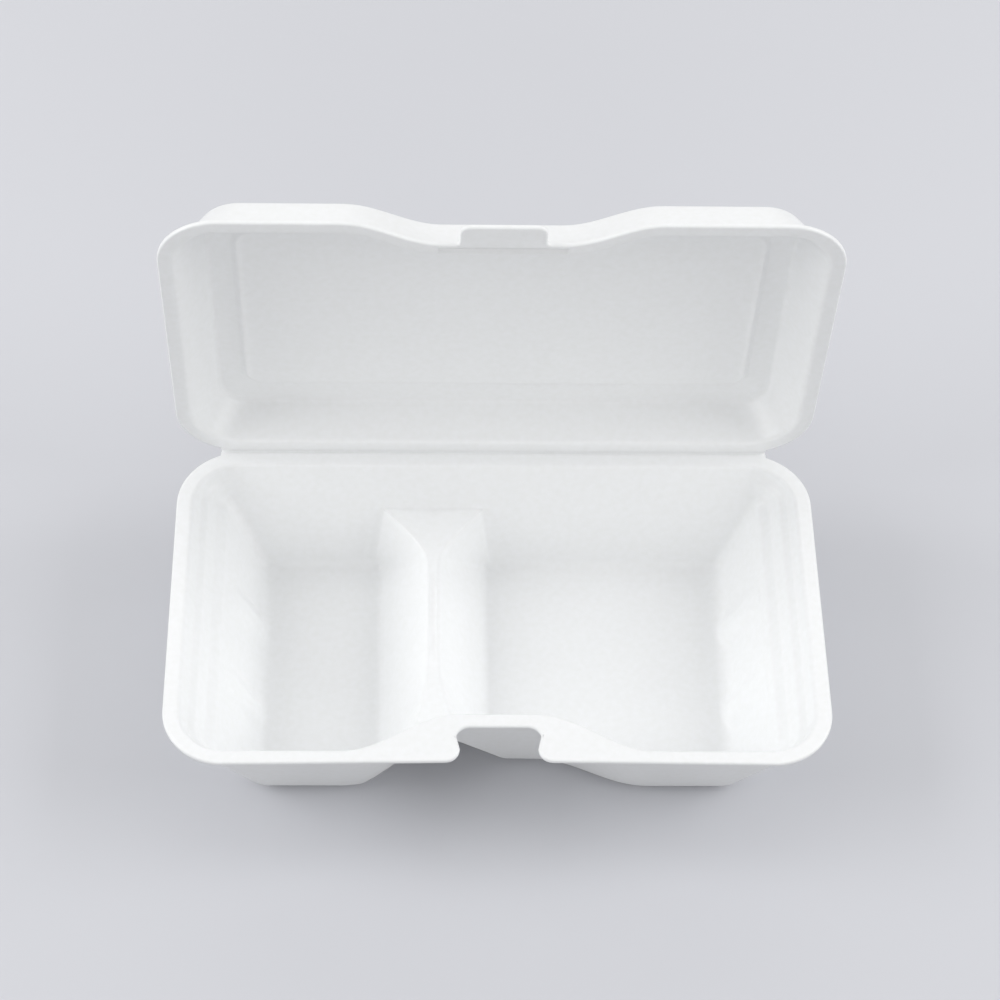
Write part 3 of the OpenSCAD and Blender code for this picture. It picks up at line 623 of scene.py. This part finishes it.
def lid_skin(sheet, outer, outline_ids):
    """One skin of the lid: rings from the flange's edge to the middle of the lid's top."""
    out = WALL if outer else 0.0
    side, back, front = skin_profiles((LID_STEP, LID_BACK, LID_FRONT), outer)
    radii = np.array(LID_RADII) + out
    recesses = np.full((len(radii), 1), LID_RECESS)
    rows = np.hstack([side, back, front[:, :1], radii, recesses])
    if outer:
        # The outer skin starts at the flange's other face
        rows[0] += (rows[1] - rows[0]) * (WALL - back[0, 1]) / (back[1, 1] - back[0, 1])
        rows[0, [1, 3]] = WALL
    rows = np.vstack([rows[0] + OUT_ON_FLANGE, rows])
    rim_before, rim_after = (0.3, 0.05) if outer else (0.5, 0.1)
    profile = rounded(
        rows,
        [rim_before, 0.08, 0.06, 0.25, 0.45],
        [rim_after, 0.12, 0.3, 0.45, 0.08],
        [7, 9, 4, 4, 4],
        [1, 7, 4, 1, 1, 5],
    )
    edges = edge_rings(LID_OUTLINE, outer)
    rim = level(profile[0], LID_FLAT)
    # The grooves need close rows on the inner flange
    flange_n = 14 if outer else 48
    flange = [edges[-1] + (rim - edges[-1]) * k for k in shares(flange_n)[:-1]]
    rings = edges + flange + [level(r, LID_FLAT) for r in profile]
    middle = rings[-1].mean(0)
    rings += [middle + (rings[-1] - middle) * (1 - u) for u in np.linspace(0, 0.94, 14)[1:]]
    rings = np.array(rings)

    x, y = rings[..., 0], rings[..., 1]
    across = step01((GROOVE_HALF - np.abs(x)) / GROOVE_END)
    apart = np.abs(np.abs(y - lid_edge(0.0) - GROOVE_IN) - GROOVE_APART)
    groove = step01((GROOVE_W - apart) / GROOVE_FLANK) * across * GROOVE_DEEP
    flat = np.abs(rings[..., 2] + out) < ON_FLANGE
    rings[..., 2] -= np.where(flat, groove, 0)

    ids = np.vstack([outline_ids[None], sheet.add(opened(rings))])
    sheet.stack(ids, not outer)
    sheet.cap(ids[-1], sheet.add(opened(middle[None]))[0], not outer)


def build_lid():
    """The lid: two skins as the tray has, turned open about the fold."""
    sheet = Sheet()
    ids = sheet.add(opened(with_depth(LID_OUTLINE, WALL / 2)))
    lid_skin(sheet, False, ids)
    lid_skin(sheet, True, ids)
    return sheet.piece("lid_shell")


def linear(code):
    """An sRGB hex colour as linear red, green and blue with alpha 1."""
    c = np.array([int(code[i : i + 2], 16) for i in (1, 3, 5)]) / 255
    c = np.where(c <= 0.04045, c / 12.92, ((c + 0.055) / 1.055) ** 2.4)
    return (*c.tolist(), 1.0)


def node(tree, kind, settings=(), links=()):
    """Adds a node, sets its values and inputs, and links other nodes' outputs to its inputs. A
    socket goes by its name, or by its place where several share a name."""
    n = tree.nodes.new(kind)
    for key, value in dict(settings).items():
        if isinstance(key, int) or key in n.inputs:
            n.inputs[key].default_value = value
        else:
            setattr(n, key, value)
    for key, (other, output) in dict(links).items():
        tree.links.new(other.outputs[output], n.inputs[key])
    return n


# Places of a colour Mix node's sockets: its share, its two colours and its result
MIX_SHARE, MIX_A, MIX_B, MIX_OUT = 0, 6, 7, 2


def new_material(name):
    """An empty node material and its tree."""
    material = bpy.data.materials.new(name)
    material.use_nodes = True
    material.node_tree.nodes.clear()
    return material, material.node_tree


# Foam patterns: real cells are about 0.2 mm across, too fine to show, so they are drawn at 0.8 mm;
# the mottle is about 2.4 mm across and the change of gloss about 36 mm
CELL_MM = 0.8
MOTTLE_PER_M, GLOSS_PER_M = 420.0, 28.0


def foam_sheet():
    """Expanded polystyrene foam sheet, thermoformed: a white closed skin over fine cells, which
    gives a soft satin light and a faint grain."""
    material, tree = new_material("formed_polystyrene_foam")
    place = node(tree, "ShaderNodeTexCoord")
    where = {"Vector": (place, "Object")}
    cells = node(tree, "ShaderNodeTexVoronoi", {"Scale": 1000 / CELL_MM}, where)
    grain = node(tree, "ShaderNodeTexNoise", {"Scale": MOTTLE_PER_M, "Detail": 3.0}, where)
    cloud = node(tree, "ShaderNodeTexNoise", {"Scale": GLOSS_PER_M, "Detail": 2.0}, where)
    spread = {"From Min": 0.3, "From Max": 0.7}
    tone = node(tree, "ShaderNodeMapRange", spread, {"Value": (grain, "Fac")})
    tint = node(
        tree,
        "ShaderNodeMix",
        {"data_type": "RGBA", MIX_A: linear("#f4f5f5"), MIX_B: linear("#f7f8f9")},
        {MIX_SHARE: (tone, "Result")},
    )
    rough = node(
        tree,
        "ShaderNodeMapRange",
        {**spread, "To Min": 0.3, "To Max": 0.36},
        {"Value": (cloud, "Fac")},
    )
    # Half the cells' height is added to the mottle's
    height = node(
        tree,
        "ShaderNodeMath",
        {"operation": "MULTIPLY_ADD", 1: 0.5},
        {0: (cells, "Distance"), 2: (grain, "Fac")},
    )
    bump = node(
        tree,
        "ShaderNodeBump",
        {"Strength": 0.06, "Distance": 0.0003},
        {"Height": (height, "Value")},
    )
    skin = node(
        tree,
        "ShaderNodeBsdfPrincipled",
        {"IOR": 1.45, "Specular IOR Level": 0.5},
        {
            "Base Color": (tint, MIX_OUT),
            "Roughness": (rough, "Result"),
            "Normal": (bump, "Normal"),
        },
    )
    node(tree, "ShaderNodeOutputMaterial", (), {"Surface": (skin, "BSDF")})
    return material


# The web's section as (y, z) from the fold: its lap on each flange, the depth of its ends inside
# the sheet, half its thickness, and the points towards which its outer and inner line bend
WEB_LAP, WEB_TRAY_DEEP, WEB_LID_DEEP, WEB_HALF, WEB_SHORT = 1.6, 1.0, 1.1, 0.5, 0.3
WEB_OUTER, WEB_INNER = np.array([1.9, -2.1]), np.array([1.0, -1.2])


def build_fold(foam):
    """The thin web along the fold, which closes the gap: a shallow arch behind the two flange
    edges, its section two quadratic curves, carried along the fold."""
    x = np.linspace(-HALF_FOLD + WEB_SHORT, HALF_FOLD - WEB_SHORT, 160)
    a = math.radians(OPEN_ANGLE)
    sin, cos = math.sin(a), math.cos(a)
    tray_end = np.array([-WEB_LAP, -WEB_TRAY_DEEP])
    lid_end = np.array([WEB_LID_DEEP * sin - WEB_LAP * cos, HALF_GAP + WEB_LAP * sin])
    v = np.linspace(0, 1, 13)[:, None]
    outer = bezier(tray_end - [0, WEB_HALF], WEB_OUTER, lid_end + [WEB_HALF, 0], v)
    inner = bezier(tray_end + [0, WEB_HALF], WEB_INNER, lid_end - [WEB_HALF, 0], v)
    section = np.concatenate([outer, inner[::-1]])
    y, z = section.T
    points = np.stack(np.broadcast_arrays(x[None], y[:, None], z[:, None]), -1)
    sheet = Sheet()
    ids = sheet.add(points)
    nxt = np.roll(ids, -1, 0)
    sheet.quads(ids[:, :-1], ids[:, 1:], nxt[:, 1:], nxt[:, :-1], True)
    sheet.faces += [ids[:, 0].tolist()[::-1], ids[:, -1].tolist()]
    web = sheet.piece("fold_web")
    web.data.materials.append(foam)
    y, z = FOLD[1] / 1000, FOLD[2] / 1000
    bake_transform(web)
    return web


foam = foam_sheet()
tray = build_tray()
lid = build_lid()
for shell, body in ((tray, "tray"), (lid, "lid")):
    shell.data.materials.append(foam)
    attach(shell, body)
    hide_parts(body)
web = build_fold(foam)

TABLE_HALF = 6.0


def table():
    """A wide pale table top, painted matt, cool light grey."""
    material, tree = new_material("matt_table")
    place = node(tree, "ShaderNodeTexCoord")
    cloud = node(
        tree,
        "ShaderNodeTexNoise",
        {"Scale": 3.0, "Detail": 2.0},
        {"Vector": (place, "Object")},
    )
    pale = node(
        tree,
        "ShaderNodeMix",
        {"data_type": "RGBA", MIX_A: linear("#cfd0d5"), MIX_B: linear("#d2d3d8")},
        {MIX_SHARE: (cloud, "Fac")},
    )
    # Seen straight or in a reflection, the table is paler than the grey that lights the object
    # from below
    ray = node(tree, "ShaderNodeLightPath")
    seen = node(tree, "ShaderNodeMath", (), {0: (ray, "Is Camera Ray"), 1: (ray, "Is Glossy Ray")})
    seen = node(
        tree,
        "ShaderNodeMath",
        {"use_clamp": True},
        {0: (seen, "Value"), 1: (ray, "Is Transmission Ray")},
    )
    tint = node(
        tree,
        "ShaderNodeMix",
        {"data_type": "RGBA", MIX_A: linear("#b0b1b5")},
        {MIX_SHARE: (seen, "Value"), MIX_B: (pale, MIX_OUT)},
    )
    skin = node(
        tree,
        "ShaderNodeBsdfPrincipled",
        {"Roughness": 0.85, "Specular IOR Level": 0.2},
        {"Base Color": (tint, MIX_OUT)},
    )
    node(tree, "ShaderNodeOutputMaterial", (), {"Surface": (skin, "BSDF")})
    mesh = bpy.data.meshes.new("table")
    s = TABLE_HALF
    mesh.from_pydata([(-s, -s, 0), (s, -s, 0), (s, s, 0), (-s, s, 0)], [], [(0, 1, 2, 3)])
    mesh.materials.append(material)
    linked("table", mesh)


table()


def put(obj, right, up, back, place):
    """Stands a lamp or camera at a place, with its own axes along the three directions."""
    m = np.eye(4)
    m[:3, 0], m[:3, 1], m[:3, 2], m[:3, 3] = right, up, back, place
    obj.matrix_world = Matrix(m.tolist())


def area_light(name, place, size, power):
    """A soft white light, size wide and high, that faces the middle of the object."""
    data = bpy.data.lights.new(name, "AREA")
    data.shape, data.energy = "RECTANGLE", power
    data.size, data.size_y = size
    back = np.array(place, float) - AIM
    back /= np.linalg.norm(back)
    right = np.cross([0, 0, 1], back)
    right /= np.linalg.norm(right)
    put(linked(name, data), right, np.cross(back, right), back, place)


# Lamps: place, width and height in metres, and power in watts
AIM = np.array([0, -0.02, 0.05])
area_light("left_softbox", (-1.4, 0, 0.9), (1.2, 1.2), 14.0)
area_light("right_softbox", (1.4, 0, 0.9), (1.2, 1.2), 13.2)
area_light("top_strip", (0, 0.46, 1.86), (2.4, 0.6), 3.1)
area_light("back_strip", (0, 1.7, 1.05), (2.4, 0.6), 6.0)
area_light("front_fill", (0, -1.6, 0.6), (1.2, 1.2), 4.4)

WORLD_STRENGTH = 0.445
world = bpy.data.worlds.new("studio")
world.use_nodes = True
sky = world.node_tree.nodes["Background"]
sky.inputs["Color"].default_value = linear("#ffffff")
sky.inputs["Strength"].default_value = WORLD_STRENGTH
bpy.context.scene.world = world

# The photograph's view: degrees down, of roll and of turn; millimetres of lens, sensor and place
CAMERA_TILT, CAMERA_ROLL, CAMERA_TURN = 52.8933, 2.5123, -2.8411
CAMERA_LENS, CAMERA_SENSOR = 99.568, 36.0
CAMERA_PLACE = np.array([-29.371, -653.440, 834.649])
CAMERA_FAR_M = 50.0


def about_z(a):
    """The turn of three axes by an angle about the third."""
    return np.array([[math.cos(a), math.sin(a), 0], [-math.sin(a), math.cos(a), 0], [0, 0, 1]])


def camera():
    """The camera, its axes turned about the upright, tilted down and rolled about its view."""
    tilt, roll, turn = (math.radians(v) for v in (CAMERA_TILT, CAMERA_ROLL, CAMERA_TURN))
    sin, cos = math.sin(tilt), math.cos(tilt)
    down = np.array([[1, 0, 0], [0, sin, cos], [0, cos, -sin]])
    right, up, ahead = about_z(roll) @ down @ about_z(turn)
    data = bpy.data.cameras.new("camera")
    data.sensor_width, data.lens, data.clip_end = CAMERA_SENSOR, CAMERA_LENS, CAMERA_FAR_M
    obj = linked("camera", data)
    put(obj, right, up, -ahead, (CAMERA_PLACE + [0, FOLD[1], TRAY_H]) / 1000)
    bpy.context.scene.camera = obj


camera()
bpy.context.scene.view_settings.view_transform = "Standard"
